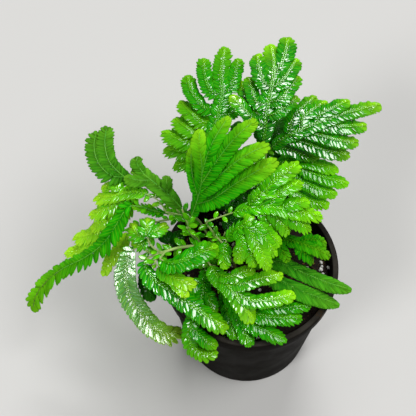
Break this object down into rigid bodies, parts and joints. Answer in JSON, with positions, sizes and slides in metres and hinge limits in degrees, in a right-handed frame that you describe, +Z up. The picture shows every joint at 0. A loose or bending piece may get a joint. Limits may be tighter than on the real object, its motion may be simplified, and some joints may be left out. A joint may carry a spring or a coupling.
{
  "type": "potted spikemoss",
  "caption": "Small fern-like spikemoss in a round nursery pot, with flat leafy sprays that arch up over the rim and trail over one side.",
  "frame": {"origin": "centre of the pot's flat underside", "axes": "+Z up, -Y towards the viewer of the picture, +X to the viewer's right; the longest sprays trail towards -X"},
  "size_m": [0.111, 0.0911, 0.0977],
  "materials": {
    "pot": "matte",
    "compost": "matte",
    "stem": "satin",
    "leaf": "satin"
  },
  "bodies": {
    "root": {"compost": "compost", "pot": "pot", "spray_back_low_left": "leaf", "spray_back_low_right": "leaf", "spray_centre": "leaf", "spray_centre_low": "leaf", "spray_curl": "leaf", "spray_east": "leaf", "spray_east_low": "leaf", "spray_front": "leaf", "spray_front_low": "leaf", "spray_long_left": "leaf", "spray_long_right": "leaf", "spray_low_back_left": "leaf", "spray_low_back_right": "leaf", "spray_middle": "leaf", "spray_north": "leaf", "spray_north_west": "leaf", "spray_right": "leaf", "spray_right_low": "leaf", "spray_shade_south_west": "leaf", "spray_shade_west": "leaf", "spray_south_east": "leaf", "spray_south_west": "leaf", "spray_south_west_low": "leaf", "spray_west_centre": "leaf", "spray_west_long": "leaf", "spray_west_pair": "leaf", "spray_west_pale": "leaf", "spray_west_top": "leaf", "spray_west_under": "leaf", "stem_centre": "stem", "stem_east": "stem", "stem_front": "stem", "stem_north": "stem", "stem_right": "stem", "stem_south_east": "stem", "stem_south_west": "stem", "stem_west": "stem"}
  },
  "joints": []
}
